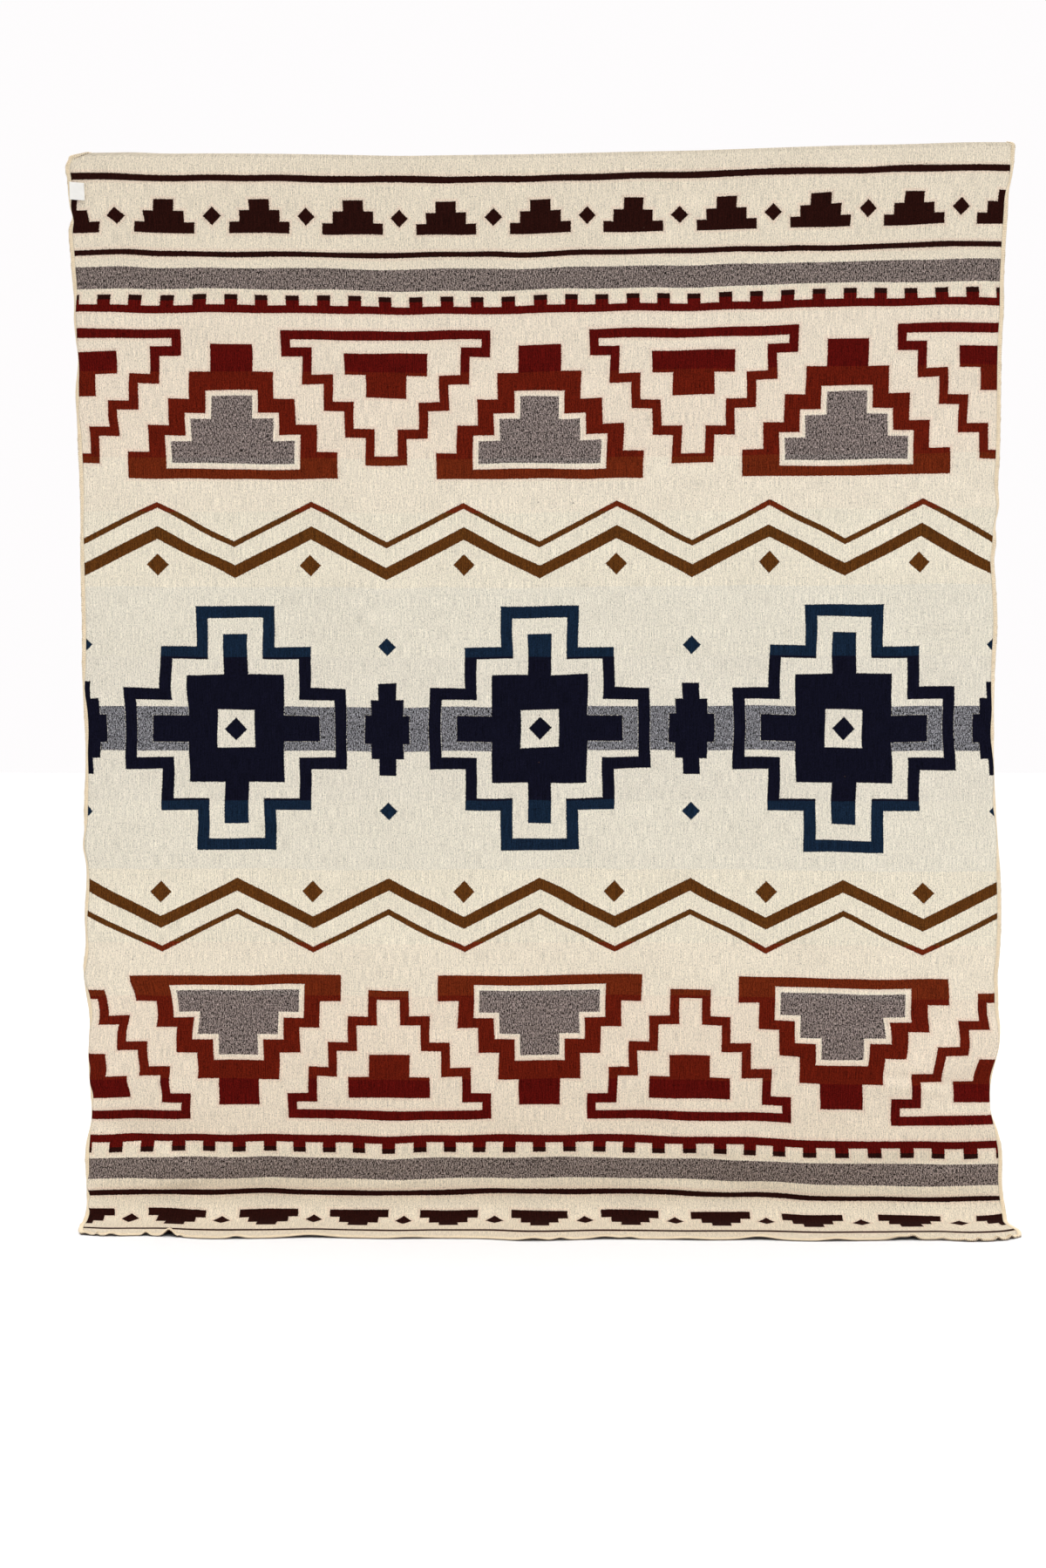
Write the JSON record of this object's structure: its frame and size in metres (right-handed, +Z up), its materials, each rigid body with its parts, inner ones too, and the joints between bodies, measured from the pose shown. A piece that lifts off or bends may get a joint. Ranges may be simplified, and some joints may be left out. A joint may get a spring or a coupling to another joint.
{
  "type": "woven alpaca wool throw, hung by its top edge",
  "caption": "Large double-faced woven wool throw hanging flat from its top edge, with its hem lying forward on the floor and a blank label at one side.",
  "frame": {"origin": "middle of the throw's top edge, where it is held", "axes": "+Z up, -Y towards the front of the cloth, +X to the right as seen from the front"},
  "size_m": [1.6931, 0.1928, 1.9359],
  "materials": {
    "woven_wool": "brushed double-faced wool weave, matt",
    "label_ribbon": "white woven ribbon, slight sheen"
  },
  "bodies": {
    "root": {"throw_panel": "woven_wool", "label": "label_ribbon"}
  },
  "joints": []
}
